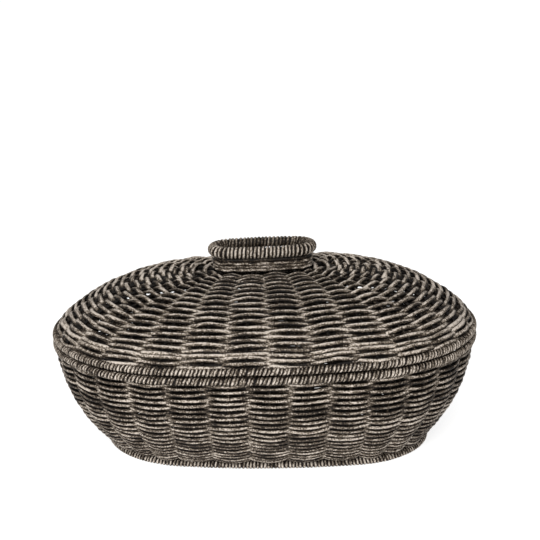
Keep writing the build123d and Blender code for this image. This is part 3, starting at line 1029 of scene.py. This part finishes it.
def lashing_loop():
    """The closed line of one turn, as distance outwards from the hoop's middle and height."""
    _, half_width, height, radius = hoop("lid_locating_hoop")
    _, rim_half, _, rim_radius = hoop("lid_rim_binding")
    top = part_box("lid_hoop_lashings")[1].z / MM - LOOP_TOP_GAP
    angle = np.arange(LOOP_SPOTS) * 2 * np.pi / LOOP_SPOTS
    around = np.stack([np.cos(angle), np.sin(angle)], 1)
    low = np.array([0.0, height]) + (radius + LASHING_THICK) * around
    high_middle = [rim_half - half_width - rim_radius + LOOP_TOP_INSET, top - LOOP_TOP_RADIUS]
    loop = hull(np.concatenate([low, np.array(high_middle) + LOOP_TOP_RADIUS * around]))
    sides = np.linalg.norm(np.diff(loop, axis=0, append=loop[:1]), axis=1)
    edge = np.concatenate([[0], np.cumsum(sides)])
    spots = np.arange(LOOP_POINTS) / LOOP_POINTS * edge[-1]
    closed = np.concatenate([loop, loop[:1]])
    return np.stack([np.interp(spots, edge, closed[:, k]) for k in (0, 1)], 1)


def lashings():
    """Turns of cane that tie the locating hoop under the lid."""
    half_length, half_width, _, _ = hoop("lid_locating_hoop")
    length = oval_length(half_length, half_width)
    loop = lashing_loop()
    away = loop - loop.mean(0)
    strands = Strands()
    for tie in range(LASHINGS):
        for turn in range(LASHING_TURNS):
            step = turn - (LASHING_TURNS - 1) / 2
            share = (tie + 0.5) / LASHINGS + step * LASHING_PITCH / length
            x, y, nx, ny = (float(v) for v in oval_places(half_length, half_width, np.array(share)))
            path = np.stack([x + nx * loop[:, 0], y + ny * loop[:, 0], loop[:, 1]], 1)
            normal = np.stack([nx * away[:, 0], ny * away[:, 0], away[:, 1]], 1)
            strands.add(
                path, normal, LASHING_THICK, LASHING_WIDE, depth=LASHING_WEAR, sides=LASHING_SIDES
            )
    strands.build("lashing_cane", "lid", CANE, "cane_wrap", "lid_hoop_lashings")


def hull(points):
    """Convex hull of flat points, anticlockwise."""
    order = sorted(map(tuple, points))

    def half(run):
        kept = []
        for point in run:
            while len(kept) > 1 and turn_way(kept[-2], kept[-1], point) <= 0:
                kept.pop()
            kept.append(point)
        return kept[:-1]

    return np.array(half(order) + half(order[::-1]))


def turn_way(a, b, c):
    """Above 0 where the way from a through b to c turns left."""
    return (b[0] - a[0]) * (c[1] - a[1]) - (b[1] - a[1]) * (c[0] - a[0])


# Pieces carried over from the CAD model

def dress_rods():
    """Dark rattan on the floor rods that are kept from the CAD model."""
    for node in ("base_cross_rods", "base_spine_rods"):
        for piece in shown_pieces():
            if piece.name == node or piece.name.split(".")[0] == node:
                piece.data.materials.clear()
                piece.data.materials.append(ROD)


# Stage

def paper():
    """Plain paper, lit a little from below as on a light table."""
    material, _, _, shader = bare_material("floor_paper")
    shader.inputs["Base Color"].default_value = (*PAPER, 1)
    shader.inputs["Roughness"].default_value = PAPER_ROUGHNESS
    shader.inputs["Emission Color"].default_value = (1, 1, 1, 1)
    shader.inputs["Emission Strength"].default_value = PAPER_GLOW
    return material


def stage():
    """A sheet of paper under the basket."""
    mesh = bpy.data.meshes.new("floor")
    corners = [(-1, -1), (1, -1), (1, 1), (-1, 1)]
    points = [(x * PAPER_SIZE, y * PAPER_SIZE, -PAPER_DROP) for x, y in corners]
    mesh.from_pydata(points, [], [(0, 1, 2, 3)])
    floor = bpy.data.objects.new("floor", mesh)
    mesh.materials.append(paper())
    bpy.context.scene.collection.objects.link(floor)


def area_light(name, place, target, size, power):
    light = bpy.data.lights.new(name, "AREA")
    light.shape = "DISK"
    light.size = size
    light.energy = power
    lamp = bpy.data.objects.new(name, light)
    lamp.location = place
    lamp.rotation_euler = (Vector(target) - Vector(place)).to_track_quat("-Z", "Y").to_euler()
    bpy.context.scene.collection.objects.link(lamp)


def lights():
    world = bpy.data.worlds.new("studio")
    world.use_nodes = True
    world.node_tree.nodes["Background"].inputs["Color"].default_value = (1, 1, 1, 1)
    world.node_tree.nodes["Background"].inputs["Strength"].default_value = SKY_STRENGTH
    bpy.context.scene.world = world
    area_light("key", KEY_PLACE, KEY_TARGET, KEY_SIZE, KEY_POWER)
    bpy.context.scene.view_settings.view_transform = "Standard"


def camera():
    turn, rise = np.radians(CAMERA_TURN), np.radians(CAMERA_ELEVATION)
    lens = bpy.data.cameras.new("camera")
    lens.lens, lens.sensor_width = LENS, SENSOR
    eye = bpy.data.objects.new("camera", lens)
    away = Vector((-np.cos(rise) * np.sin(turn), -np.cos(rise) * np.cos(turn), np.sin(rise)))
    eye.location = (Vector((0, 0, CAMERA_TARGET)) + away * CAMERA_DISTANCE) * MM
    eye.rotation_euler = (np.pi / 2 - rise + np.radians(AIM_UP), 0, -turn - np.radians(AIM_RIGHT))
    bpy.context.scene.collection.objects.link(eye)
    bpy.context.scene.camera = eye


basket_wall()
inner_wale()
basket_floor()
wind("foot_binding", "foot_cane", "basket", FOOT_WIND)
wind("body_rim_binding", "basket_rim_cane", "basket", RIM_WIND, RIM_SLIMMER)
wind("lid_rim_binding", "lid_rim_cane", "lid", RIM_WIND, RIM_SLIMMER)
wind("handle_binding", "handle_cane", "lid", HANDLE_WIND)
# Rods under the cane are painted dark as shade.
hoop_rod("foot_hoop", "foot_rod", "basket", ROD_SHADE)
hoop_rod("body_rim_hoop", "basket_rim_rod", "basket", ROD_SHADE, ROD_SLIMMER)
hoop_rod("lid_rim_hoop", "lid_rim_rod", "lid", ROD_SHADE, ROD_SLIMMER)
hoop_rod("handle_hoop", "handle_rod", "lid", ROD_SHADE, ROD_SLIMMER)
hoop_rod("lid_locating_hoop", "locating_rod", "lid", LOCATING_WEAR)
the_dome = Dome()
lid_weave(the_dome)
lid_stakes(the_dome)
neck_rings()
body_stakes()
lashings()
dress_rods()

stage()
lights()
camera()
